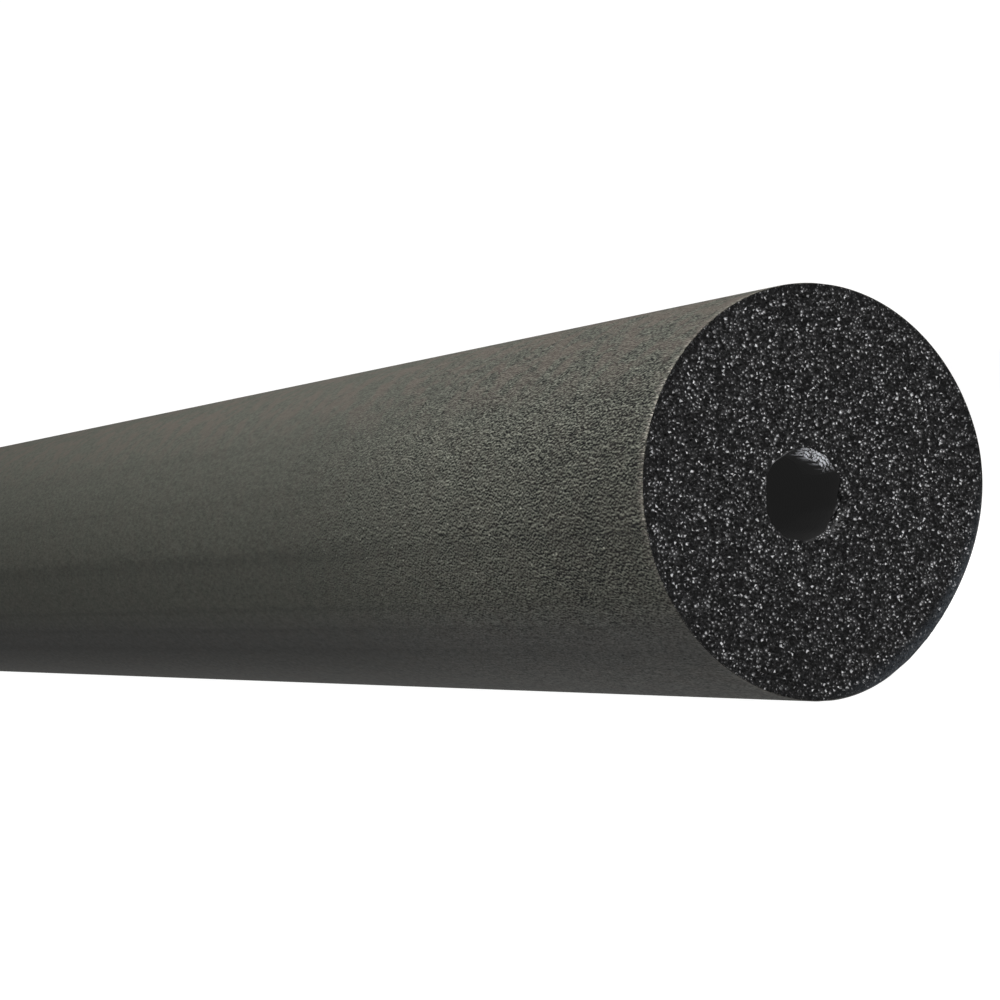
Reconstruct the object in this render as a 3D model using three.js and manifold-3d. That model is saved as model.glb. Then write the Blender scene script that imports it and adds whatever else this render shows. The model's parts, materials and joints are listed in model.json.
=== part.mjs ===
// A straight length of closed-cell rubber foam pipe lagging, in millimetres, +Z up.
// It lies along X on the floor at z = 0. The end at +X is the near one.
import * as THREE from "three";
import { mergeVertices } from "three/addons/utils/BufferGeometryUtils.js";
import Module from "manifold-3d";

// Section: a 19 mm wall round an 11 mm bore.
const BORE_DIAMETER = 11;
const WALL = 19;
const OUTER_RADIUS = BORE_DIAMETER / 2 + WALL;
// The bore is off centre, so the wall is thinner on the -Y side.
const BORE_SHIFT_Y = -2.2;
const BORE_SHIFT_Z = 0.1;

// One six-foot length of stock.
const LENGTH = 1829;

// Both ends are cut square, with the edge broken by this radius.
const EDGE_RADIUS = 0.2;
// The near end's edge is worn rounder over part of its turn, low on the +Y side.
// Angles turn from +Y towards +Z.
const WORN_EDGE_RADIUS = 3.5;
const WORN_CENTRE_DEG = -51;
const WORN_HALF_SPAN_DEG = 61;

const OUTER_SIDES = 72;
const BORE_SIDES = 48;
const EDGE_STEPS = 6;
// The bore's cutter runs past both ends by this much.
const CUTTER_OVERRUN = 5;
// Points closer than this are one point, and a point this far off an edge still counts as on it.
const MERGE_DISTANCE = 1e-4;
const ROUNDING_SLACK = 1e-3;

// A side of the outer polygon faces the floor, so its height is taken to that side's middle.
const AXIS_HEIGHT = OUTER_RADIUS * Math.cos(Math.PI / OUTER_SIDES);

const wasm = await Module();
wasm.setup();

function toSolid(geometry) {
  const plain = geometry.clone();
  plain.deleteAttribute("normal");
  plain.deleteAttribute("uv");
  const merged = mergeVertices(plain, MERGE_DISTANCE);
  return new wasm.Manifold(
    new wasm.Mesh({
      numProp: 3,
      vertProperties: new Float32Array(merged.attributes.position.array),
      triVerts: new Uint32Array(merged.index.array),
    }),
  );
}

function toGeometry(solid) {
  const mesh = solid.getMesh();
  const geometry = new THREE.BufferGeometry();
  const positions = new THREE.BufferAttribute(mesh.vertProperties, 3);
  geometry.setAttribute("position", positions);
  geometry.setIndex(new THREE.BufferAttribute(mesh.triVerts, 1));
  const flat = geometry.toNonIndexed();
  flat.computeVertexNormals();
  return flat;
}

// Half of the outline, from the axis at one end round both edges to the axis at the other end.
function rodProfile() {
  const inner = OUTER_RADIUS - EDGE_RADIUS;
  const half = LENGTH / 2;
  const points = [new THREE.Vector2(0, -half)];
  for (let i = 0; i <= EDGE_STEPS; i++) {
    const a = ((i / EDGE_STEPS) * Math.PI) / 2;
    points.push(
      new THREE.Vector2(
        inner + EDGE_RADIUS * Math.sin(a),
        -half + EDGE_RADIUS * (1 - Math.cos(a)),
      ),
    );
  }
  for (let i = 0; i <= EDGE_STEPS; i++) {
    const a = ((i / EDGE_STEPS) * Math.PI) / 2;
    points.push(
      new THREE.Vector2(
        inner + EDGE_RADIUS * Math.cos(a),
        half - EDGE_RADIUS * (1 - Math.sin(a)),
      ),
    );
  }
  points.push(new THREE.Vector2(0, half));
  return points;
}

// The near edge's radius at an angle.
function edgeRadiusAt(angle) {
  let away = THREE.MathUtils.radToDeg(angle) - WORN_CENTRE_DEG;
  away -= 360 * Math.round(away / 360);
  if (Math.abs(away) >= WORN_HALF_SPAN_DEG) return EDGE_RADIUS;
  const share = (1 + Math.cos((Math.PI * away) / WORN_HALF_SPAN_DEG)) / 2;
  return EDGE_RADIUS + (WORN_EDGE_RADIUS - EDGE_RADIUS) * share;
}

// Scales each point of the near edge about the sharp corner that the edge replaces.
function wearEdge(geometry) {
  const position = geometry.attributes.position;
  const innerRadius = OUTER_RADIUS - EDGE_RADIUS;
  const edgeStart = LENGTH / 2 - EDGE_RADIUS;
  for (let i = 0; i < position.count; i++) {
    const x = position.getX(i);
    const radius = Math.hypot(position.getY(i), position.getZ(i));
    if (x < edgeStart - ROUNDING_SLACK || radius < innerRadius - ROUNDING_SLACK) continue;
    const angle = Math.atan2(position.getZ(i), position.getY(i));
    const grow = edgeRadiusAt(angle) / EDGE_RADIUS;
    const newRadius = OUTER_RADIUS + (radius - OUTER_RADIUS) * grow;
    position.setXYZ(
      i,
      LENGTH / 2 + (x - LENGTH / 2) * grow,
      newRadius * Math.cos(angle),
      newRadius * Math.sin(angle),
    );
  }
  return geometry;
}

const halfSide = Math.PI / OUTER_SIDES;
const rod = new THREE.LatheGeometry(rodProfile(), OUTER_SIDES, halfSide);
rod.rotateZ(-Math.PI / 2);
wearEdge(rod);

const bore = new THREE.CylinderGeometry(
  BORE_DIAMETER / 2,
  BORE_DIAMETER / 2,
  LENGTH + 2 * CUTTER_OVERRUN,
  BORE_SIDES,
);
bore.rotateZ(-Math.PI / 2);
bore.translate(0, BORE_SHIFT_Y, BORE_SHIFT_Z);

const tube = toGeometry(toSolid(rod).subtract(toSolid(bore)));
tube.translate(0, 0, AXIS_HEIGHT);

const skin = new THREE.MeshStandardMaterial({
  color: 0x3c3c38,
  roughness: 0.85,
  metalness: 0,
});

const foamTube = new THREE.Mesh(tube, skin);
foamTube.name = "foam_tube";

const part = new THREE.Group();
part.add(foamTube);

export default part;
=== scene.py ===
"""The looks of a length of black rubber foam pipe lagging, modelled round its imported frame, in metres."""
import json
import math

import bpy
import numpy as np
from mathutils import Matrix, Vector
from mathutils.geometry import delaunay_2d_cdt


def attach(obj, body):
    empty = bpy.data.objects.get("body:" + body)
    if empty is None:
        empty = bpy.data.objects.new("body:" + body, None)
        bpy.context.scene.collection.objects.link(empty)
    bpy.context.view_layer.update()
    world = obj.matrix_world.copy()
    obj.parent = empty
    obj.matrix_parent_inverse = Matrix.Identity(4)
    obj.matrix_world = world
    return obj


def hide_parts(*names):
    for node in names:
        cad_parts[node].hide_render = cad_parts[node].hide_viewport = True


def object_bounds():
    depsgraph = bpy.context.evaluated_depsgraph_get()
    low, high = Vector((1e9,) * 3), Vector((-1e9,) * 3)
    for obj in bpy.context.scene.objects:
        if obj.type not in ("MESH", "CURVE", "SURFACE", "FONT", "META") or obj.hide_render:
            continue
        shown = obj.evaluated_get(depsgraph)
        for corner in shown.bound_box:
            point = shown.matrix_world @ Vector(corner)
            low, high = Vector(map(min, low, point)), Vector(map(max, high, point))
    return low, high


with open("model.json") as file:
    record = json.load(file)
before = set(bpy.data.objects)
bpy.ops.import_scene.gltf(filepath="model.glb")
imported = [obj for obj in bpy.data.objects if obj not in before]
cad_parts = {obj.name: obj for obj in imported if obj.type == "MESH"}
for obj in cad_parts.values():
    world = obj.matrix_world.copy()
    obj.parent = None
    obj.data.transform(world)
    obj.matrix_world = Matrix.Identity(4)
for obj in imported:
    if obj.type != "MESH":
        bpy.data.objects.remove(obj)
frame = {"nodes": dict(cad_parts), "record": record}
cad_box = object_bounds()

MM = 0.001
WHITE = (1, 1, 1)
NODE = "foam_tube"

# The tube's outline, from the frame.
HALF_LENGTH = cad_box[1].x
OUTER_RADIUS = (cad_box[1].z - cad_box[0].z) / 2
AXIS = Vector((0.0, 0.0, OUTER_RADIUS))

# The bore's centre is the middle of the opening that the record states; its radius is the solid's.
opening = frame["record"]["physics"]["openings"][0]["box_m"]
BORE_CENTRE = Vector((0.0, (opening[0][1] + opening[1][1]) / 2, (opening[0][2] + opening[1][2]) / 2))
BORE_RADIUS = min(
    math.hypot(v.co.y - BORE_CENTRE.y, v.co.z - BORE_CENTRE.z) for v in frame["nodes"][NODE].data.vertices
)
# The bore's centre seen from the tube's axis.
BORE_SHIFT = np.array([BORE_CENTRE.y - AXIS.y, BORE_CENTRE.z - AXIS.z])

# All angles turn from +Y towards +Z. The near cut's edge is worn rounder low on the +Y side.
EDGE_RADIUS = 0.2 * MM
WORN_EDGE_RADIUS = 3.5 * MM
WORN_CENTRE_DEG = -51.0
WORN_HALF_SPAN_DEG = 61.0
# The skin turns this far over each edge, and the open cells go on from there.
SKIN_TURN = math.radians(40)

# The bore's lip is sharp, but rounder on the +Y side of the near cut.
LIP_RADIUS = 0.25 * MM
SOFT_LIP_RADIUS = 1.5 * MM
SOFT_LIP_CENTRE_DEG = -32.0
SOFT_LIP_HALF_SPAN_DEG = 58.0
# Next to it the bore's own skin is torn into ridges, just inside the near cut.
TORN_CENTRE_DEG = 55.0
TORN_HALF_SPAN_DEG = 37.0

# The camera, from the near face's centre.
CAMERA_PLACE = Vector((245.1, -177.6, 13.6)) * MM
CAMERA_TURN_DEG = (88.27, 8.63, 60.87)
LENS_MM = 92.7
CLIP_START = 0.01


# Modelling helpers.

# Points closer than this are one point.
MERGE_DISTANCE = 0.001 * MM


def start_edit(piece, mode="VERT"):
    """Selects one piece, and all of it, in edit mode."""
    bpy.ops.object.select_all(action="DESELECT")
    piece.select_set(True)
    bpy.context.view_layer.objects.active = piece
    bpy.ops.object.mode_set(mode="EDIT")
    bpy.ops.mesh.select_mode(type=mode)
    bpy.ops.mesh.select_all(action="SELECT")


def end_edit():
    """Goes back to object mode."""
    bpy.ops.object.mode_set(mode="OBJECT")


def points_of(piece):
    """A piece's vertices as an array of rows."""
    rows = np.empty(len(piece.data.vertices) * 3)
    piece.data.vertices.foreach_get("co", rows)
    return rows.reshape(-1, 3)


def move_points(piece, rows):
    """Puts a piece's vertices at an array of rows."""
    piece.data.vertices.foreach_set("co", rows.ravel())
    piece.data.update()


def mark_points(piece, name, values):
    """Writes one number for each vertex, which a material can read."""
    layer = piece.data.attributes.new(name, "FLOAT", "POINT")
    layer.data.foreach_set("value", np.asarray(values, dtype=np.float32))


def turned(name, profile, centre, sides):
    """A profile of (x, radius) points drawn by extruding one vertex, then spun round an axis along X."""
    bpy.ops.object.select_all(action="DESELECT")
    bpy.ops.mesh.primitive_plane_add(size=MM, location=(0, 0, 0))
    piece = bpy.context.object
    piece.name = piece.data.name = name
    start_edit(piece)
    bpy.ops.mesh.merge(type="CENTER")
    first_x, first_radius = profile[0]
    bpy.ops.transform.translate(value=(first_x, centre.y, centre.z + first_radius))
    for (x0, r0), (x1, r1) in zip(profile, profile[1:]):
        bpy.ops.mesh.extrude_vertices_move(TRANSFORM_OT_translate={"value": (x1 - x0, 0, r1 - r0)})
    bpy.ops.mesh.select_all(action="SELECT")
    bpy.ops.mesh.spin(steps=sides, angle=math.tau, center=centre, axis=(1, 0, 0))
    bpy.ops.mesh.select_all(action="SELECT")
    bpy.ops.mesh.remove_doubles(threshold=MERGE_DISTANCE)
    end_edit()
    return piece


def face_the_right_way(piece, centre, outward):
    """Turns every face away from the axis, or towards it."""
    face = piece.data.polygons[len(piece.data.polygons) // 2]
    away = Vector((0, face.center.y - centre.y, face.center.z - centre.z))
    if (face.normal.dot(away) > 0) != outward:
        start_edit(piece, "FACE")
        bpy.ops.mesh.flip_normals()
        end_edit()


# Edges.


def swell(angle, centre_deg, half_span_deg):
    """A smooth hump round the turn: 1 at the centre angle, 0 beyond the half span."""
    away = np.degrees(angle) - centre_deg
    away = away - 360 * np.round(away / 360)
    hump = (1 + np.cos(np.pi * away / half_span_deg)) / 2
    return np.where(np.abs(away) < half_span_deg, hump, 0)


def edge_radius(angle, near):
    """The radius that the cut's outer edge is rounded to."""
    worn = swell(angle, WORN_CENTRE_DEG, WORN_HALF_SPAN_DEG) if near else 0 * angle
    return EDGE_RADIUS + (WORN_EDGE_RADIUS - EDGE_RADIUS) * worn


def lip_radius(angle, near):
    """The radius that the bore's lip is rounded to."""
    soft = swell(angle, SOFT_LIP_CENTRE_DEG, SOFT_LIP_HALF_SPAN_DEG) if near else 0 * angle
    return LIP_RADIUS + (SOFT_LIP_RADIUS - LIP_RADIUS) * soft


# The outer skin, with both edges.

SKIN_SIDES = 384
EDGE_STEPS = 6
# How far the skin's rings lie from the edge.
SKIN_STATIONS_MM = (
    *(0.5, 0.8, 1.1, 1.5, 2, 2.5, 3, 4, 5, 6.5, 8, 10, 12.5, 15, 18, 22),
    *(27, 33, 40, 50, 65, 85, 110, 150, 200, 260, 330, 420, 520, 640, 780),
)
# The stations up to this far from the near cut close up where its edge is worn.
WORN_REACH = 22 * MM
# The skin's last ring is tucked under the cells by this much.
TUCK = 0.25 * MM
# A vertex this close to a point of the profile lies on it.
SAME_PLACE = 0.01 * MM
# The knife left the skin's edge uneven by this much.
NICK = 0.07 * MM
NICK_SEED = 3

# Faint lines that the die drew along the skin: angle and half width in degrees, and share of the full depth.
DRAW_LINES = (
    (142, 4, 0.4),
    (162, 3, 0.35),
    (183, 5, 1.0),
    (202, 2, 1.0),
    (211, 2, 0.8),
    (221, 4, 0.6),
    (220, 20, 1.6),
    (262, 3, 0.6),
    (291, 5, 0.9),
    (318, 2, 0.8),
    (343, 3, 0.5),
    (20, 4, 0.7),
    (47, 2, 0.8),
    (78, 5, 0.5),
)
DRAW_LINE_DEPTH = 0.06 * MM


def skin_profile():
    """The outline of (x, radius) points, from under the far cut's edge to under the near one's."""
    turns = [SKIN_TURN * i / EDGE_STEPS for i in range(EDGE_STEPS + 1)]
    arc = [
        (HALF_LENGTH - EDGE_RADIUS * (1 - math.sin(a)), OUTER_RADIUS - EDGE_RADIUS * (1 - math.cos(a)))
        for a in turns
    ]
    straight = [(HALF_LENGTH - EDGE_RADIUS - d * MM, OUTER_RADIUS) for d in reversed(SKIN_STATIONS_MM)]
    tucked = (arc[-1][0] - TUCK, arc[-1][1] - TUCK)
    near_half = [(0.0, OUTER_RADIUS)] + straight + arc + [tucked]
    far_half = [(-x, r) for x, r in reversed(near_half[1:])]
    return far_half + near_half


def draw_line_share(angle):
    """How deep in the drawn lines each angle lies, as a share of their full depth."""
    return sum(share * swell(angle, place, half_width) for place, half_width, share in DRAW_LINES)


def outer_skin():
    """The skin: a plain turned tube, then moved to its worn edge, its nicks and its drawn lines."""
    profile = skin_profile()
    skin = turned("foam_skin", profile, AXIS, SKIN_SIDES)
    face_the_right_way(skin, AXIS, outward=True)
    rows = points_of(skin)
    y, z = rows[:, 1] - AXIS.y, rows[:, 2] - AXIS.z
    radius, angle = np.hypot(y, z), np.arctan2(z, y)
    outline = np.array(profile)
    ring = np.abs(rows[:, :1] - outline[:, 0]).argmin(1)
    # The tucked rings are told apart from the others near them by their radius too.
    for end in (0, len(profile) - 1):
        close = np.abs(rows[:, 0] - outline[end, 0]) + np.abs(radius - outline[end, 1]) < SAME_PLACE
        ring[close] = end
    from_near = HALF_LENGTH - rows[:, 0]
    drop = OUTER_RADIUS - radius
    # The near edge's arc grows about the sharp corner, and the stations next to it make room.
    tuck = np.where(ring == len(profile) - 1, TUCK, 0)
    on_edge = ring >= len(profile) - EDGE_STEPS - 2
    reach = edge_radius(angle, near=True)
    grow = reach / EDGE_RADIUS
    closed_up = reach + (from_near - EDGE_RADIUS) * (WORN_REACH - reach) / (WORN_REACH - EDGE_RADIUS)
    along = np.where(from_near < WORN_REACH, closed_up, from_near)
    along = np.where(on_edge, (from_near - tuck) * grow + tuck, along)
    drop = np.where(on_edge, (drop - tuck) * grow + tuck, drop)
    # Nicks along both edges.
    rng = np.random.default_rng(NICK_SEED)
    side = np.mod(np.round(angle / math.tau * SKIN_SIDES).astype(int), SKIN_SIDES)
    nicks = rng.uniform(0, NICK, (2, SKIN_SIDES))
    at_lip = np.minimum(ring, len(profile) - 1 - ring) <= EDGE_STEPS // 2
    drop = drop + np.where(at_lip, nicks[(ring > len(profile) / 2).astype(int), side], 0)
    radius = OUTER_RADIUS - drop - DRAW_LINE_DEPTH * draw_line_share(angle)
    rows[:, 0] = HALF_LENGTH - along
    rows[:, 1] = AXIS.y + radius * np.cos(angle)
    rows[:, 2] = AXIS.z + radius * np.sin(angle)
    move_points(skin, rows)
    mark_points(skin, "drawn", draw_line_share(angle))
    mark_points(skin, "polish", np.where(on_edge, swell(angle, WORN_CENTRE_DEG, WORN_HALF_SPAN_DEG), 0))
    skin.data.shade_smooth()
    return skin


# The bore.

BORE_SIDES = 144
LIP_STEP_MM = 0.1
LIP_STEPS = 40
LIP_STATIONS_MM = [LIP_STEP_MM * i for i in range(LIP_STEPS + 1)]
BORE_STATIONS_MM = (4.5, 5.5, 7, 9, 12, 16, 22, 30, 45, 70, 110, 180, 300, 450, 650)
# The bore's section has blunt corners: angle in degrees and distance from its centre in millimetres.
BORE_CORNERS = (
    (10, 5.6),
    (45, 5.5),
    (75, 5.45),
    (103, 5.2),
    (132, 5.5),
    (151, 5.65),
    (195, 5.85),
    (211, 5.75),
    (232, 5.95),
    (263, 5.6),
    (300, 5.5),
    (335, 5.6),
)
CORNER_BLUNTNESS = math.radians(5)
BLUNTING_SAMPLES = 5
# The torn skin stands in ledges that face the mouth, each one this deep behind and this much inside the last.
LEDGES = 3
# The ledges start further in at some angles: each wave's share of a ledge, its turns and its start.
DRIFT_WAVES = ((0.5, 3, 0), (0.4, 8, 1), (0.4, 19, 2))
# The lower this is, the more suddenly the torn part starts and ends round the turn.
TORN_BLUNTNESS = 0.25
LEDGE_DEPTH = 0.09 * MM
LEDGE_WIDTH = 0.4 * MM
# Behind them it runs out over this length.
RUN_OUT = 3.0 * MM


def polygon_radius(angle):
    """The distance from the bore's centre to the straight-sided outline through its corners."""
    places = np.radians([a for a, _ in BORE_CORNERS])
    corners = np.array([r * MM for _, r in BORE_CORNERS])
    turned_on = np.mod(angle - places[0], math.tau)
    number = np.searchsorted(places - places[0], turned_on, side="right") - 1
    after = (number + 1) % len(places)
    span = np.mod(places[after] - places[number], math.tau)
    into = turned_on - (places - places[0])[number]
    first, second = corners[number], corners[after]
    return first * second * np.sin(span) / (first * np.sin(into) + second * np.sin(span - into))


def bore_radius_at(angle):
    """The bore's radius, its corners blunted by a mean over nearby angles."""
    nearby = np.linspace(-CORNER_BLUNTNESS, CORNER_BLUNTNESS, BLUNTING_SAMPLES)
    return sum(polygon_radius(angle + a) for a in nearby) / len(nearby)


def bore_profile():
    """The outline of (x, radius) points, from the far cut to the near one."""
    near_half = [(0.0, BORE_RADIUS)]
    near_half += [(HALF_LENGTH - d * MM, BORE_RADIUS) for d in reversed(BORE_STATIONS_MM)]
    near_half += [(HALF_LENGTH - d * MM, BORE_RADIUS) for d in reversed(LIP_STATIONS_MM)]
    return [(-x, r) for x, r in reversed(near_half[1:])] + near_half


def ledges(place, drift):
    """How many ledge widths in and ledge depths back the torn skin is, and whether it is on a ledge."""
    # Each step goes inward over its first half and back over its second.
    whole, start = np.floor(place), np.floor(drift)
    part, start_part = place - whole, drift - start
    inward = whole + np.minimum(2 * part, 1) - start - np.minimum(2 * start_part, 1)
    back = whole + np.maximum(2 * part - 1, 0) - start - np.maximum(2 * start_part - 1, 0)
    return inward, back, part < 0.5


def bore_wall():
    """The bore's skin, which ends where the cells of each lip begin, with its torn part."""
    wall = turned("bore_wall", bore_profile(), BORE_CENTRE, BORE_SIDES)
    face_the_right_way(wall, BORE_CENTRE, outward=False)
    rows = points_of(wall)
    angle = np.arctan2(rows[:, 2] - BORE_CENTRE.z, rows[:, 1] - BORE_CENTRE.y)
    depth = HALF_LENGTH - np.abs(rows[:, 0])
    near = rows[:, 0] > 0
    lip = np.where(near, lip_radius(angle, near=True), lip_radius(angle, near=False))
    # The wall starts where the lip ends, and its first stations close up.
    room = LIP_STATIONS_MM[-1] * MM
    torn = np.where(near, swell(angle, TORN_CENTRE_DEG, TORN_HALF_SPAN_DEG), 0) ** TORN_BLUNTNESS
    drift = sum(share * np.sin(turns * angle + start) for share, turns, start in DRIFT_WAVES)
    inward, back, on_ledge = ledges(LEDGES * np.minimum(depth, room) / room + drift, drift)
    run_out = np.clip(1 - (depth - room) / RUN_OUT, 0, 1)
    # Painted highlight: the ledges' treads, which face the mouth and the light, are marked to be painted
    # pale, and the risers between them stay dark.
    pale = np.where(on_ledge & (depth < room), torn, 0)
    radius = bore_radius_at(angle) - torn * run_out * LEDGE_WIDTH * inward
    plain = lip + depth * (room - lip) / room
    depth = np.where(depth < room, plain + torn * (lip + LEDGE_DEPTH * back - plain), depth)
    rows[:, 0] = np.where(near, 1, -1) * (HALF_LENGTH - depth)
    rows[:, 1] = BORE_CENTRE.y + radius * np.cos(angle)
    rows[:, 2] = BORE_CENTRE.z + radius * np.sin(angle)
    move_points(wall, rows)
    mark_points(wall, "torn", pale)
    wall.data.shade_smooth()
    for face in wall.data.polygons:
        is_torn = all(torn[i] * run_out[i] > 0 for i in face.vertices)
        face.material_index = int(is_torn)
        face.use_smooth = not is_torn
    return wall


# The cut faces: open cells, each one a small bowl with a shared rim. Their centres are thrown on a flat
# ring, which is then laid over the cut and round both of its edges.

# The least distance between two centres, and what it closes up to over a band under the skin.
CELL_GAP = 0.345 * MM
RIM_CELL_GAP = 0.255 * MM
RIM_BAND = 0.8 * MM
# Centres this close to one of the ring's own edges are mirrored over it.
GHOST_BAND = 1.3 * MM
# A centre keeps this share of the gap from the ring's own edges.
BORDER_SHARE = 0.35
# The centres thrown at each end, over a disc this many times as wide as the tube.
TRIES = 260000
THROW_REACH = 1.03
# Corners closer than this are one corner.
SHORTEST_RIM = 0.035 * MM
# Centres closer than this, in millimetres, are one centre to the triangulation.
TRIANGLE_SLACK = 1e-7


def outer_limit(angle, near):
    """Where the flat ring ends under the skin."""
    edge = edge_radius(angle, near)
    return OUTER_RADIUS - edge + edge * (math.pi / 2 - SKIN_TURN)


def inner_limit(angle, near):
    """Where the flat ring ends in the bore, from the bore's centre."""
    lip = lip_radius(angle, near)
    return bore_radius_at(angle) + lip - lip * math.pi / 2


def polar(points):
    """Angles and radii of flat points."""
    return np.arctan2(points[:, 1], points[:, 0]), np.hypot(points[:, 0], points[:, 1])


def spread(angle, radius):
    """Flat points at these angles and radii."""
    return np.column_stack([radius * np.cos(angle), radius * np.sin(angle)])


def laid_on_cut(flat, depth, near):
    """Lays flat points over the cut, each one sunk by its depth. Gives (x behind the cut, y, z) rows."""
    angle, radius = polar(flat)
    edge = edge_radius(angle, near)
    turn = np.maximum(radius - (OUTER_RADIUS - edge), 0) / edge
    radius = np.minimum(radius, OUTER_RADIUS - edge) + (edge - depth) * np.sin(turn)
    behind = (edge - depth) * (1 - np.cos(turn)) + depth
    plane = spread(angle, radius)
    angle, radius = polar(flat - BORE_SHIFT)
    lip = lip_radius(angle, near)
    start = bore_radius_at(angle) + lip
    turn = np.maximum(start - radius, 0) / lip
    at_lip = turn > 0
    radius = start - (lip - depth) * np.sin(turn)
    plane[at_lip] = (spread(angle, radius) + BORE_SHIFT)[at_lip]
    behind[at_lip] = ((lip - depth) * (1 - np.cos(turn)) + depth)[at_lip]
    return np.column_stack([behind, plane])


def seeds_in_ring(near, rng):
    """Random cell centres that keep apart, closer together in a dense band under the skin."""
    kept, table = [], {}
    radii = np.sqrt(rng.uniform(0, 1, TRIES)) * OUTER_RADIUS * THROW_REACH
    angles = rng.uniform(-np.pi, np.pi, TRIES)
    spots = spread(angles, radii)
    bore_angle, bore_radius = polar(spots - BORE_SHIFT)
    from_skin = outer_limit(angles, near) - radii
    from_bore = bore_radius - inner_limit(bore_angle, near)
    gaps = RIM_CELL_GAP + (CELL_GAP - RIM_CELL_GAP) * np.clip(from_skin / RIM_BAND, 0, 1)
    inside = (from_skin > BORDER_SHARE * gaps) & (from_bore > BORDER_SHARE * gaps)
    for (y, z), gap in zip(spots[inside], gaps[inside]):
        column, row = int(y // CELL_GAP), int(z // CELL_GAP)
        close_by = (
            other
            for i in (column - 1, column, column + 1)
            for j in (row - 1, row, row + 1)
            for other in table.get((i, j), ())
        )
        if all((y - oy) ** 2 + (z - oz) ** 2 > gap * gap for oy, oz in close_by):
            table.setdefault((column, row), []).append((y, z))
            kept.append((y, z))
    return np.array(kept)


def mirrored(points, near):
    """Copies of the outermost and innermost centres, mirrored over the ring's own edges."""
    angle, radius = polar(points)
    limit = outer_limit(angle, near)
    outer = spread(angle, 2 * limit - radius)[limit - radius < GHOST_BAND]
    angle, radius = polar(points - BORE_SHIFT)
    limit = inner_limit(angle, near)
    inner = (spread(angle, 2 * limit - radius) + BORE_SHIFT)[radius - limit < GHOST_BAND]
    return outer, inner


def circle_centres(a, b, c):
    """Centres of the circles through three points, row by row."""
    ab, ac = b - a, c - a
    cross = 2 * (ab[:, 0] * ac[:, 1] - ab[:, 1] * ac[:, 0])
    ab2, ac2 = (ab**2).sum(1), (ac**2).sum(1)
    x = (ac[:, 1] * ab2 - ab[:, 1] * ac2) / cross
    y = (ab[:, 0] * ac2 - ac[:, 0] * ab2) / cross
    return a + np.column_stack([x, y])


def cell_outlines(near, rng):
    """Corner points that the cells share, and each cell's ring of corner numbers, anticlockwise."""
    seeds = seeds_in_ring(near, rng)
    outer, inner = mirrored(seeds, near)
    everything = np.vstack([seeds, outer, inner]) / MM
    flat = [Vector(p) for p in everything]
    _, _, triangles, origins, _, _ = delaunay_2d_cdt(flat, [], [], 0, TRIANGLE_SLACK)
    number = np.array([o[0] for o in origins])
    tri = number[np.array(triangles)]
    corners = circle_centres(everything[tri[:, 0]], everything[tri[:, 1]], everything[tri[:, 2]]) * MM
    inner_from = len(seeds) + len(outer)
    on_skin = ((tri >= len(seeds)) & (tri < inner_from)).any(1)
    on_bore = (tri >= inner_from).any(1)
    angle, _ = polar(corners)
    corners[on_skin] = spread(angle, outer_limit(angle, near))[on_skin]
    angle, _ = polar(corners - BORE_SHIFT)
    corners[on_bore] = (spread(angle, inner_limit(angle, near)) + BORE_SHIFT)[on_bore]
    around = [[] for _ in range(len(seeds))]
    for k, triangle in enumerate(tri):
        for s in triangle:
            if s < len(seeds):
                around[s].append(k)
    rings = []
    for s, ring in enumerate(around):
        away = corners[ring] - seeds[s]
        order = np.argsort(np.arctan2(away[:, 1], away[:, 0]))
        rings.append([ring[i] for i in order])
    return corners, rings, on_skin | on_bore


# A bowl has one ring between its rim and its lowest point, this share of it wide.
RING_SHARE = 0.34
# How deep a bowl can be, as a share of its mean half width, and how often.
BOWL_DEPTHS = (0.45, 0.7, 1.0, 1.4)
BOWL_ODDS = (0.3, 0.38, 0.27, 0.05)
# The same share's range for the bowls under the skin, and the factors that each depth then varies by.
DENSE_DEPTHS = (0.25, 0.6)
DEPTH_SPREAD = (0.8, 1.2)
# Bowls on the bore's lip are as shallow as those under the skin.
LIP_BAND = 1.3 * MM
# A corner of the rims can lie this deep.
RIM_UNEVENNESS = 0.1 * MM
# How far off its middle a bowl's lowest point can lie, as a share of its half width.
OFF_MIDDLE = 0.3
# Painted glints: pale spots painted into the cells' colour where a bowl would catch the light. A few bowls
# get much more than most, some at one side only, and those under the skin get less.
PAINTED_GLINT_SCALE = 0.58
PAINTED_GLINT_POWER = 1.45
SIDE_GLINT_ODDS = 0.5
# What the points next to the brightest one get of its painted glint, and what the next corner gets.
PAINTED_GLINT_SPILL = 0.08
CORNER_SPILL = 0.24
DENSE_PAINTED_GLINT = 0.3
# The rims' corners get a faint painted glint at random.
RIM_PAINTED_GLINT = 0.012
# The near lip has a painted highlight, a pale line in its painted glint, over part of its turn.
PAINTED_LIP_HIGHLIGHT = 0.25
LIP_HIGHLIGHT_CENTRE_DEG = 118.0
LIP_HIGHLIGHT_HALF_SPAN_DEG = 32.0
# The worn edge is scuffed over this width.
SCUFFED_BAND = 3.2 * MM


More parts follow.
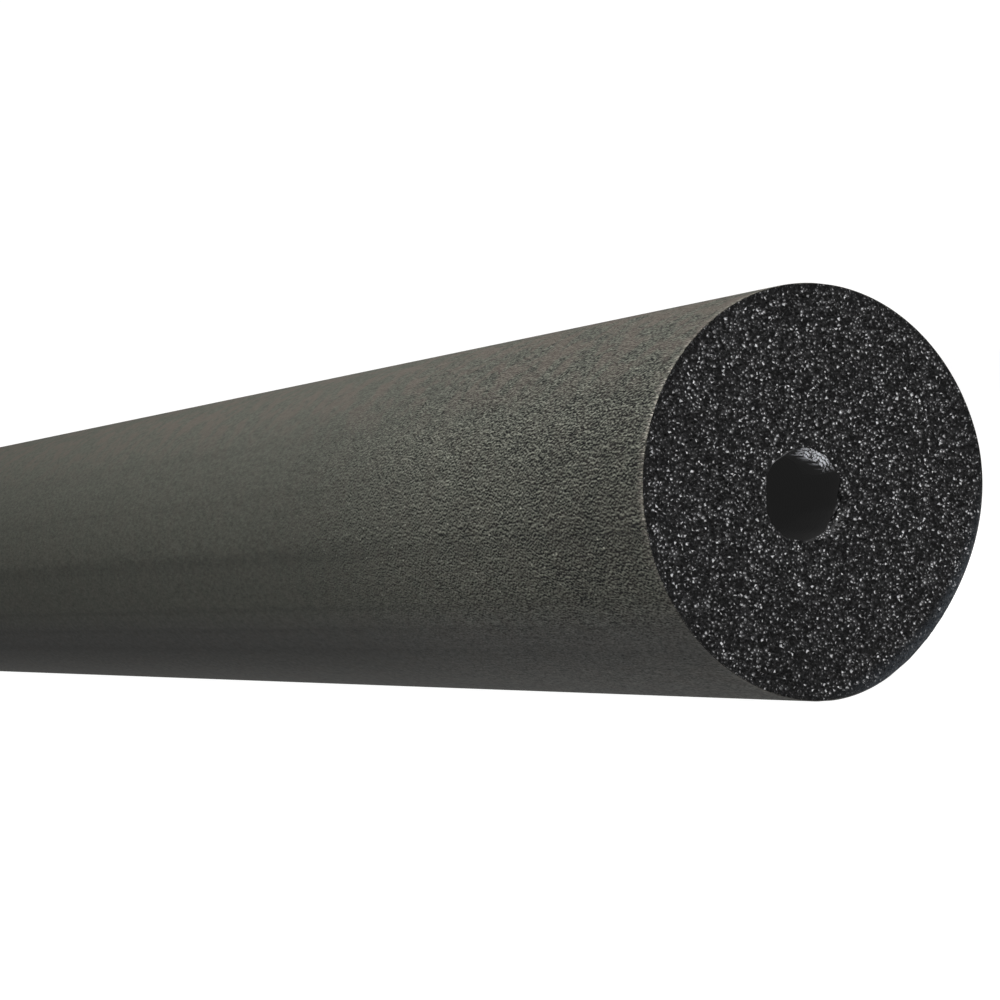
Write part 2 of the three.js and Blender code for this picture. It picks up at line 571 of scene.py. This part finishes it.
def cut_face(name, near, seed):
    """One end's cut face, made from its cells."""
    rng = np.random.default_rng(seed)
    corners, rings, on_border = cell_outlines(near, rng)
    rim_depth = np.where(on_border, 0, rng.uniform(0, RIM_UNEVENNESS, len(corners)))
    bore_angle, bore_radius = polar(corners - BORE_SHIFT)
    on_lip = on_border & (bore_radius < BORE_RADIUS + SOFT_LIP_RADIUS)
    lip_highlight = PAINTED_LIP_HIGHLIGHT * swell(bore_angle, LIP_HIGHLIGHT_CENTRE_DEG, LIP_HIGHLIGHT_HALF_SPAN_DEG) * on_lip * near
    # The flat points, how deep each one lies and how much painted glint it has: the shared corners, then each
    # bowl's own.
    flat = list(corners)
    depths = list(rim_depth)
    shine = list(rng.exponential(RIM_PAINTED_GLINT, len(corners)) + lip_highlight)
    faces = []
    for ring in rings:
        outline = corners[ring]
        middle = outline.mean(0)
        width = np.hypot(*(outline - middle).T).mean()
        angle = math.atan2(middle[1], middle[0])
        dense = outer_limit(np.array(angle), near) - math.hypot(*middle) < RIM_BAND
        bore_angle, bore_radius = polar((middle - BORE_SHIFT)[None])
        shallow = dense or bore_radius[0] - inner_limit(bore_angle, near)[0] < LIP_BAND
        depth_share = rng.uniform(*DENSE_DEPTHS) if shallow else rng.choice(BOWL_DEPTHS, p=BOWL_ODDS)
        bowl = width * depth_share * rng.uniform(*DEPTH_SPREAD)
        low = middle + rng.uniform(-OFF_MIDDLE, OFF_MIDDLE, 2) * width
        glint = PAINTED_GLINT_SCALE * rng.exponential() ** PAINTED_GLINT_POWER * (DENSE_PAINTED_GLINT if dense else 1)
        at_side = rng.uniform() < SIDE_GLINT_ODDS
        count = len(ring)
        bright_corner = rng.integers(count)
        start = len(flat)
        flat.extend(low + (middle - low) * RING_SHARE + (outline - middle) * RING_SHARE)
        depths.extend(rim_depth[ring] * RING_SHARE + bowl * (1 - RING_SHARE**2))
        ring_painted_glint = [0.0 if at_side else glint * PAINTED_GLINT_SPILL] * count
        if at_side:
            ring_painted_glint[bright_corner] = glint
            ring_painted_glint[(bright_corner + 1) % count] = glint * CORNER_SPILL
        shine.extend(ring_painted_glint)
        flat.append(low)
        depths.append(bowl)
        shine.append(glint * PAINTED_GLINT_SPILL if at_side else glint)
        for i in range(count):
            j = (i + 1) % count
            faces.append((ring[i], ring[j], start + j, start + i))
            faces.append((start + i, start + j, start + count))
    placed = laid_on_cut(np.array(flat), np.array(depths), near)
    angle, radius = polar(np.array(flat))
    scuffed = np.clip(1 - (outer_limit(angle, near) - radius) / SCUFFED_BAND, 0, 1) * near
    side = 1 if near else -1
    x = side * (HALF_LENGTH - placed[:, 0])
    rows = np.column_stack([x, AXIS.y + placed[:, 1], AXIS.z + placed[:, 2]])
    if not near:
        faces = [tuple(reversed(f)) for f in faces]
    mesh = bpy.data.meshes.new(name)
    mesh.from_pydata(rows.tolist(), [], faces)
    face = bpy.data.objects.new(name, mesh)
    bpy.context.collection.objects.link(face)
    mark_points(face, "shine", shine)
    mark_points(face, "scuffed", scuffed * swell(angle, WORN_CENTRE_DEG, WORN_HALF_SPAN_DEG))
    start_edit(face)
    bpy.ops.mesh.remove_doubles(threshold=SHORTEST_RIM)
    end_edit()
    mesh.shade_smooth()
    return face


# Materials.


class Wire:
    """A socket that sums and products can be written with; each operator adds its Math node."""

    def __init__(self, nodes, socket):
        self.nodes = nodes
        self.socket = socket

    def math(self, operation, *others):
        """One Math node, with this socket as its first value."""
        values = dict(enumerate((self, *others)))
        return self.nodes.add("ShaderNodeMath", {"operation": operation}, values)

    def __add__(self, other):
        return self.math("ADD", other)

    def __sub__(self, other):
        return self.math("SUBTRACT", other)

    def __mul__(self, other):
        return self.math("MULTIPLY", other)

    def __rsub__(self, other):
        return self.nodes.add("ShaderNodeMath", {"operation": "SUBTRACT"}, {0: other, 1: self})

    def __abs__(self):
        return self.math("ABSOLUTE")

    __radd__ = __add__
    __rmul__ = __mul__

    def between(self, low, high):
        """0 below low, 1 above high, smooth between."""
        settings = {"interpolation_type": "SMOOTHSTEP"}
        values = {"Value": self, "From Min": low, "From Max": high}
        return self.nodes.add("ShaderNodeMapRange", settings, values)

    def below(self, low, high):
        """1 below low, 0 above high, smooth between."""
        return 1 - self.between(low, high)

    def between_bands(self, comes, goes):
        """Rises over one pair of values and falls over another."""
        return self.between(*comes) * self.below(*goes)

    def at_least(self, low):
        """Squeezed to run from low to 1."""
        return low + (1 - low) * self


class Nodes:
    """The node tree of a material or of the world, filled through one method."""

    def __init__(self, owner):
        self.owner = owner
        owner.use_nodes = True
        self.tree = owner.node_tree
        self.tree.nodes.clear()

    def add(self, kind, settings=None, values=None, out=0):
        """Adds a node with its settings and its sockets' values or links, and gives one output."""
        node = self.tree.nodes.new(kind)
        for key, value in (settings or {}).items():
            setattr(node, key, value)
        for key, value in (values or {}).items():
            socket = node.inputs[key]
            if isinstance(value, Wire):
                self.tree.links.new(value.socket, socket)
            elif socket.type == "RGBA":
                socket.default_value = (*value, 1)
            else:
                socket.default_value = value
        return Wire(self, node.outputs[out]) if len(node.outputs) else None

    def place(self, scale=(1, 1, 1), lift=0.0):
        """Object coordinates in millimetres, lifted and then stretched by the given shares."""
        here = self.add("ShaderNodeTexCoord", out="Object")
        values = {"Vector": here, "Scale": [s / MM for s in scale], "Location": (0, 0, lift * scale[2])}
        return self.add("ShaderNodeMapping", None, values)

    def axis(self, name):
        """One of the object coordinates, in millimetres."""
        return self.add("ShaderNodeSeparateXYZ", None, {"Vector": self.place()}, out=name)

    def noise(self, place, scale=1.0, detail=2.0, roughness=0.5):
        """A soft random value around 0.5, with scale waves for each unit of place."""
        values = {"Vector": place, "Scale": scale, "Detail": detail, "Roughness": roughness}
        return self.add("ShaderNodeTexNoise", None, values, out="Fac")

    def stretched_noise(self, scale, detail, lift=0.0):
        """A noise with its own waves for each millimetre along the tube and across it."""
        return self.noise(self.place(scale, lift), detail=detail)

    def spots(self, place):
        """The distance to the nearest of many scattered points, in shares of their spacing."""
        return self.add("ShaderNodeTexVoronoi", None, {"Vector": place, "Scale": 1.0}, out="Distance")

    def mark(self, name):
        """A number that the piece's vertices carry."""
        return self.add("ShaderNodeAttribute", {"attribute_name": name}, None, out="Fac")

    def blend(self, share, first, second):
        """Mixes two colours. Sockets 0, 6 and 7 are the share and the colours, and output 2 is the mix."""
        values = {0: share, 6: first, 7: second}
        return self.add("ShaderNodeMix", {"data_type": "RGBA", "clamp_factor": True}, values, out=2)

    def bump(self, height, distance, strength=1.0):
        """A normal bent by a height, where 1 is this far out."""
        values = {"Height": height, "Distance": distance, "Strength": strength}
        return self.add("ShaderNodeBump", None, values)

    def surface(self, values):
        """Ends a material in one shader with these values."""
        shader = self.add("ShaderNodeBsdfPrincipled", None, values)
        self.add("ShaderNodeOutputMaterial", None, {"Surface": shader})
        return self.owner


# The numbers of the skin. A pair is two heights over the floor, or two distances from the nearer end, in
# millimetres, between which an effect comes or goes. A pair that is named a range holds a noise's or
# a mark's own values.

# The skin is full of contrast near its ends, which are handled more, and calm further in.
CALM_FROM_END = (25, 115)
CALM_SHARE = 0.92
# It has less contrast low down and along the top, so the grain's painted shade is strongest on the middle
# heights, where light from above grazes the side.
GRAIN_COMES = (9, 20)
LOW_GRAIN = 0.28
GRAIN_GOES = (35, 45)
TOP_GRAIN_LOSS = 0.45
# The grain's wrinkles for each millimetre along the tube and across it, and how high one of them is.
GRAIN_SCALE = (2.1, 4.6, 4.6)
WRINKLE_MM = 0.21
# Painted shade and light: the grain's colour is its noise less the same noise one wrinkle higher, so each
# wrinkle's upper side is painted pale and its lower side dark. This is how strongly.
PAINTED_GRAIN_SHADE = 1.7
GRAIN_DETAIL = 0.5
GRAIN_DEPTH = 0.4 * MM
# Creases run where a wider noise is at its middle value, and are painted darker there as painted shade.
FOLD_SCALE = (0.35, 1.9, 1.9)
CREASE_RANGE = (0.0, 0.03)
CREASE_PAINTED_SHADE = 0.35
CREASE_DEPTH = 0.4
# Broad soft patches.
MOTTLE_SCALE = (0.9, 1.9, 1.9)
MOTTLE_CONTRAST = 0.35
# A stretch of the skin near each end is paler over the middle heights.
PALER_STRETCH = 0.08
PALER_FROM_END = (12, 38)
PALER_TO_END = (55, 95)
PALER_COMES = (10, 24)
PALER_GOES = (36, 44)
# A shade of 0 is the dark colour and 1 is the pale one, which is less green low down, as a painted tint of
# the light from the floor.
MEAN_SHADE = 0.34
DARK_SKIN = (0.002, 0.002, 0.002)
FLOOR_LIGHT_TINTED_PALE_SKIN = (0.257, 0.258, 0.238)
PALE_SKIN = (0.252, 0.261, 0.211)
GREENER_ABOVE = (10, 17)
# A brown tint in soft patches, strongest along the top, where it is also a painted warm tint of the light
# from above.
BROWN = (0.125, 0.1, 0.084)
BROWN_WAVES = 0.3
BROWN_RANGE = (0.42, 0.62)
BROWN_COMES = (38, 46)
BROWN_SHARE = 0.1
PAINTED_WARM_LIGHT_TOP_SHARE = 0.5
# Painted shade: the middle of the length is painted darker, more so low down. The lines that the die drew are
# darker too.
SHADE_AND_DRAWN_LINE_DARK = (0.01, 0.01, 0.01)
PAINTED_SHADE_FROM_END = (40, 105)
PAINTED_SHADE_SHARE = 0.1
PAINTED_LOW_SHADE_SHARE = 0.14
PAINTED_SHADE_COMES = (1, 6)
PAINTED_SHADE_GOES = (22, 27)
DRAWN_SHARE = 0.14
# Pale specks of dust on the middle heights.
SPECK = (0.5, 0.5, 0.42)
SPECK_SCALE = (0.45, 0.8, 0.8)
SPECK_RANGE = (0.06, 0.13)
SPECK_SHARE = 0.75
FEWEST_SPECKS = 0.25
SPECKS_COME = (12, 18)
SPECKS_GO = (26, 36)
# At the rim the skin has pale strokes, a painted highlight where the cut edge catches the light, and is
# frayed in small nibs, less so low down and at the top.
RIM_MARKS_COME = (14, 30)
LOW_RIM_MARKS = 0.15
RIM_MARKS_GO = (38, 46)
TOP_RIM_MARKS_LOSS = 0.6
RIM_PAINTED_HIGHLIGHT = (0.36, 0.33, 0.28)
RIM_HIGHLIGHT_SCALE = (0.5, 4.5, 4.5)
RIM_HIGHLIGHT_RANGE = (0.45, 0.6)
RIM_HIGHLIGHT_FROM_END = (0.2, 1.9)
RIM_HIGHLIGHT_SHARE = 0.5
NIB = (0.55, 0.52, 0.46)
NIB_SCALE = (0.8, 7.0, 7.0)
NIB_RANGE = (0.52, 0.6)
NIB_FROM_END = (0.25, 0.8)
NIB_SHARE = 0.8
# The worn edge is smoother and bluish. Its mark runs from 0 to 1 over this range.
WORN_RANGE = (0.15, 0.7)
SCUFF_WAVES = 4.0
SCUFF_RANGE = (0.3, 0.7)
SCUFF_DARK = (0.02, 0.024, 0.03)
SCUFF_PALE = (0.085, 0.1, 0.12)
SKIN_ROUGHNESS = 0.8
WORN_SMOOTHNESS = 0.2
WORN_FLATNESS = 0.7
SKIN_SPECULAR = 0.35


def skin_tone_with_painted_shade(nodes, from_end, height, shade, lively):
    """The skin's colour before wear, from its shade, with painted shade and a painted warm tint."""
    # The pale colour is less green low down: a painted tint of the light from the floor.
    pale = nodes.blend(height.between(*GREENER_ABOVE), FLOOR_LIGHT_TINTED_PALE_SKIN, PALE_SKIN)
    grey = nodes.blend(shade, DARK_SKIN, pale)
    brown = nodes.noise(nodes.place(), BROWN_WAVES).between(*BROWN_RANGE)
    # More brown along the top: a painted warm tint of the light from above.
    brown = brown * (BROWN_SHARE + PAINTED_WARM_LIGHT_TOP_SHARE * height.between(*BROWN_COMES))
    grey = nodes.blend(brown, grey, BROWN)
    # Painted shade over the middle of the length, more of it on the lower half.
    low = height.between_bands(PAINTED_SHADE_COMES, PAINTED_SHADE_GOES)
    painted_shade = from_end.between(*PAINTED_SHADE_FROM_END) * (PAINTED_SHADE_SHARE + PAINTED_LOW_SHADE_SHARE * low)
    grey = nodes.blend(nodes.mark("drawn") * DRAWN_SHARE + painted_shade, grey, SHADE_AND_DRAWN_LINE_DARK)
    specks = nodes.spots(nodes.place(SPECK_SCALE)).below(*SPECK_RANGE)
    speckled = height.between_bands(SPECKS_COME, SPECKS_GO).at_least(FEWEST_SPECKS)
    return nodes.blend(specks * speckled * lively * SPECK_SHARE, grey, SPECK)


def rim_highlight_and_nibs(nodes, from_end, height, grey):
    """Pale strokes of painted highlight and frayed nibs at the rim, over a colour."""
    share = height.between(*RIM_MARKS_COME).at_least(LOW_RIM_MARKS) * (1 - TOP_RIM_MARKS_LOSS * height.between(*RIM_MARKS_GO))
    strokes = nodes.stretched_noise(RIM_HIGHLIGHT_SCALE, detail=1.0).between(*RIM_HIGHLIGHT_RANGE)
    # The pale strokes are a painted highlight along the cut edge.
    rim_highlight = from_end.below(*RIM_HIGHLIGHT_FROM_END) * strokes * share
    grey = nodes.blend(rim_highlight * RIM_HIGHLIGHT_SHARE, grey, RIM_PAINTED_HIGHLIGHT)
    fray = nodes.stretched_noise(NIB_SCALE, detail=1.0).between(*NIB_RANGE)
    nibs = from_end.below(*NIB_FROM_END) * fray * share
    return nodes.blend(nibs * NIB_SHARE, grey, NIB)


def skin_finish():
    """A leathery grain, painted pale and dark as if lit from above, with a paler stretch near each end, a
    brown tint that is partly a painted warm light, painted shade and wear.
    """
    nodes = Nodes(bpy.data.materials.new("foam_skin_matt"))
    from_end = HALF_LENGTH / MM - abs(nodes.axis("X"))
    height = nodes.axis("Z")
    lively = 1 - CALM_SHARE * from_end.between(*CALM_FROM_END)
    lively = lively * height.between(*GRAIN_COMES).at_least(LOW_GRAIN)
    lively = lively * (1 - TOP_GRAIN_LOSS * height.between(*GRAIN_GOES))
    grain = nodes.stretched_noise(GRAIN_SCALE, GRAIN_DETAIL)
    # The same grain one wrinkle higher, taken from it to paint shade and light as if lit from above.
    above = nodes.stretched_noise(GRAIN_SCALE, GRAIN_DETAIL, lift=WRINKLE_MM)
    folds = nodes.stretched_noise(FOLD_SCALE, detail=2.0)
    creases = abs(folds - 0.5).below(*CREASE_RANGE)
    mottle = nodes.stretched_noise(MOTTLE_SCALE, detail=1.0)
    # Paler over a stretch near each end, on the middle heights.
    paler_stretch = from_end.between_bands(PALER_FROM_END, PALER_TO_END) * height.between_bands(PALER_COMES, PALER_GOES)
    shade = MEAN_SHADE + PALER_STRETCH * paler_stretch + (mottle - 0.5) * MOTTLE_CONTRAST
    shade = shade + ((grain - above) * PAINTED_GRAIN_SHADE - CREASE_PAINTED_SHADE * creases) * lively
    grey = skin_tone_with_painted_shade(nodes, from_end, height, shade, lively)
    grey = rim_highlight_and_nibs(nodes, from_end, height, grey)
    worn = nodes.mark("polish").between(*WORN_RANGE)
    speckle = nodes.noise(nodes.place(), SCUFF_WAVES, detail=1.0).between(*SCUFF_RANGE)
    relief = (grain - CREASE_DEPTH * creases) * lively * (1 - WORN_FLATNESS * worn)
    return nodes.surface(
        {
            "Base Color": nodes.blend(worn, grey, nodes.blend(speckle, SCUFF_DARK, SCUFF_PALE)),
            "Roughness": SKIN_ROUGHNESS - WORN_SMOOTHNESS * worn,
            "Specular IOR Level": SKIN_SPECULAR,
            "Normal": nodes.bump(relief, GRAIN_DEPTH),
        }
    )


# The cells are black. Their painted glint mark paints some of them pale, as painted highlights, and their
# scuffed mark makes the worn edge bluish.
CELL_BLACK = (0.002, 0.002, 0.0022)
CELL_DARK = (0.006, 0.006, 0.0063)
CELL_PAINTED_GLINT = (0.9, 0.9, 0.92)
CELL_SCUFF = (0.075, 0.09, 0.108)
CELL_WAVES = 5.0
CELL_BROAD_WAVES = 0.5
CELL_SCUFF_RANGE = (0.05, 0.75)
CELL_SCUFF_NOISE_RANGE = (0.35, 0.65)
LEAST_SCUFF = 0.3
CELL_ROUGHNESS = 0.2
CELL_ROUGHNESS_RANGE = 0.2
CELL_SPECULAR = 0.2
CELL_DEPTH = 0.05 * MM
CELL_BUMP = 0.5


def cell_finish():
    """Glossy black cells, of which a few have painted glints: pale spots in their colour."""
    nodes = Nodes(bpy.data.materials.new("cut_foam_cells"))
    facets = nodes.noise(nodes.place(), CELL_WAVES, detail=1.0)
    broad = nodes.noise(nodes.place(), CELL_BROAD_WAVES)
    tone_and_painted_glints = nodes.blend(nodes.mark("shine"), nodes.blend(broad, CELL_BLACK, CELL_DARK), CELL_PAINTED_GLINT)
    patches = nodes.noise(nodes.place(), CELL_WAVES).between(*CELL_SCUFF_NOISE_RANGE)
    scuffed = nodes.mark("scuffed").between(*CELL_SCUFF_RANGE) * patches.at_least(LEAST_SCUFF)
    return nodes.surface(
        {
            "Base Color": nodes.blend(scuffed, tone_and_painted_glints, CELL_SCUFF),
            "Roughness": CELL_ROUGHNESS + CELL_ROUGHNESS_RANGE * facets,
            "Specular IOR Level": CELL_SPECULAR,
            "Normal": nodes.bump(facets, CELL_DEPTH, CELL_BUMP),
        }
    )


# The light that the bore's walls pass on to each other many times, added as a faint glow.
BORE_GLOW = 0.0115
BORE_BLACK = (0.004, 0.004, 0.004)
BORE_DARK = (0.009, 0.009, 0.009)
BORE_SCALE = (2.6, 0.8, 0.8)
BORE_DEPTH = 0.15 * MM
BORE_BUMP = 0.6
BORE_ROUGHNESS = 0.7
BORE_SPECULAR = 0.2
# The torn skin's glossy strands, painted pale as a highlight where its ledges catch the light.
TORN_DARK = (0.006, 0.006, 0.006)
TORN_PAINTED_HIGHLIGHT = (0.92, 0.94, 1.0)
STRAND_WAVES = 2.2
STRAND_RANGE = (0.38, 0.52)
STRAND_ROUGHNESS = 0.7
TORN_RANGE = (0.3, 0.9)
STRAND_GLOSS = 0.45
STRAND_SPECULAR = 0.5


def bore_finish():
    """The bore's smooth skin."""
    nodes = Nodes(bpy.data.materials.new("bore_skin"))
    folds = nodes.stretched_noise(BORE_SCALE, detail=2.0)
    return nodes.surface(
        {
            "Base Color": nodes.blend(folds, BORE_BLACK, BORE_DARK),
            "Roughness": BORE_ROUGHNESS,
            "Specular IOR Level": BORE_SPECULAR,
            "Emission Color": WHITE,
            "Emission Strength": BORE_GLOW,
            "Normal": nodes.bump(folds, BORE_DEPTH, BORE_BUMP),
        }
    )


def torn_finish():
    """The torn part of the bore's skin, with pale strands painted on its ledges as a highlight."""
    nodes = Nodes(bpy.data.materials.new("torn_bore_skin"))
    strands = nodes.noise(nodes.place(), STRAND_WAVES, detail=3.0, roughness=STRAND_ROUGHNESS)
    torn = nodes.mark("torn")
    pale = strands.between(*STRAND_RANGE) * torn.between(*TORN_RANGE)
    return nodes.surface(
        {
            "Base Color": nodes.blend(pale, TORN_DARK, TORN_PAINTED_HIGHLIGHT),
            "Roughness": BORE_ROUGHNESS - STRAND_GLOSS * pale,
            "Specular IOR Level": STRAND_SPECULAR,
            "Emission Color": WHITE,
            "Emission Strength": BORE_GLOW,
            "Normal": nodes.bump(strands * torn, BORE_DEPTH),
        }
    )


# The floor, the lights and the camera.

FLOOR_SIZE = 60.0
FLOOR_GREY = (0.2, 0.2, 0.2)
FLOOR_GLOW = 1.0


def floor():
    """A floor that looks white and lets the world light the tube from below."""
    bpy.ops.object.select_all(action="DESELECT")
    bpy.ops.mesh.primitive_plane_add(size=FLOOR_SIZE, location=(0, 0, 0))
    ground = bpy.context.object
    ground.name = ground.data.name = "floor"
    nodes = Nodes(bpy.data.materials.new("pale_floor"))
    ground.data.materials.append(
        nodes.surface(
            {
                "Base Color": FLOOR_GREY,
                "Roughness": 1.0,
                "Specular IOR Level": 0.0,
                "Emission Color": WHITE,
                "Emission Strength": FLOOR_GLOW,
            }
        )
    )
    ground.visible_diffuse = ground.visible_glossy = ground.visible_shadow = False


# Lights: name, direction from the near face's centre, distance, size and radiance.
SOFTBOXES = (
    ("overhead_softbox", (-0.25, -0.25, 1.0), 1.2, 1.3, 1.02),
    ("near_end_softbox", (0.35, 0.1, 1.0), 0.7, 0.8, 2.25),
    ("side_softbox", (-0.12, -0.6, 0.8), 0.35, 0.3, 2.1),
    ("low_softbox", (0.0, -0.6, -0.5), 0.2, 0.18, 0.6),
    ("key_light", (0.81, 0.055, 0.56), 1.0, 0.22, 22.0),
)
# The light that the floor and the room's upper half send back.
GROUND_GLOW = 0.39
SKY_GLOW = 0.02
# One goes over into the other within this share of the way up and down from the horizon.
HORIZON = 0.15
# What the camera sees behind the tube.
BACKDROP_GLOW = 1.05


def softbox(name, direction, distance, size, radiance):
    """A square lamp that faces the near end from the given direction."""
    lamp = bpy.data.lights.new(name, "AREA")
    lamp.size = size
    lamp.energy = radiance * math.pi * size * size
    holder = bpy.data.objects.new(name, lamp)
    bpy.context.collection.objects.link(holder)
    towards = Vector(direction).normalized()
    holder.location = AXIS + Vector((HALF_LENGTH, 0, 0)) + towards * distance
    holder.rotation_euler = towards.to_track_quat("Z", "Y").to_euler()


def studio():
    """A world that is white to the camera and lights the tube from the sky and from the floor."""
    bpy.context.scene.world = bpy.data.worlds.new("studio")
    nodes = Nodes(bpy.context.scene.world)
    up = nodes.add("ShaderNodeSeparateXYZ", None, {"Vector": nodes.add("ShaderNodeTexCoord")}, out="Z")
    glow = GROUND_GLOW + (SKY_GLOW - GROUND_GLOW) * up.between(-HORIZON, HORIZON)
    lit = nodes.add("ShaderNodeBackground", None, {"Color": WHITE, "Strength": glow})
    seen = nodes.add("ShaderNodeBackground", None, {"Color": WHITE, "Strength": BACKDROP_GLOW})
    to_camera = nodes.add("ShaderNodeLightPath", out="Is Camera Ray")
    both = nodes.add("ShaderNodeMixShader", None, {0: to_camera, 1: lit, 2: seen})
    nodes.add("ShaderNodeOutputWorld", None, {"Surface": both})
    for values in SOFTBOXES:
        softbox(*values)


def camera():
    """The photographed view."""
    lens = bpy.data.cameras.new("camera")
    lens.lens = LENS_MM
    lens.clip_start = CLIP_START
    holder = bpy.data.objects.new("camera", lens)
    bpy.context.collection.objects.link(holder)
    holder.location = AXIS + Vector((HALF_LENGTH, 0, 0)) + CAMERA_PLACE
    holder.rotation_euler = [math.radians(d) for d in CAMERA_TURN_DEG]
    bpy.context.scene.camera = holder


# Putting it together.


def dress(piece, *finishes):
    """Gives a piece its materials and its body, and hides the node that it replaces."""
    # Emptying a mesh's materials sets its faces back to the first one.
    numbers = [face.material_index for face in piece.data.polygons]
    piece.data.materials.clear()
    for finish in finishes:
        piece.data.materials.append(finish)
    piece.data.polygons.foreach_set("material_index", numbers)
    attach(piece, "root")
    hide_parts(NODE)


camera()
studio()
floor()
dress(outer_skin(), skin_finish())
dress(bore_wall(), bore_finish(), torn_finish())
cells = cell_finish()
dress(cut_face("cut_face_near", near=True, seed=7), cells)
dress(cut_face("cut_face_far", near=False, seed=8), cells)

bpy.context.scene.view_settings.view_transform = "Standard"
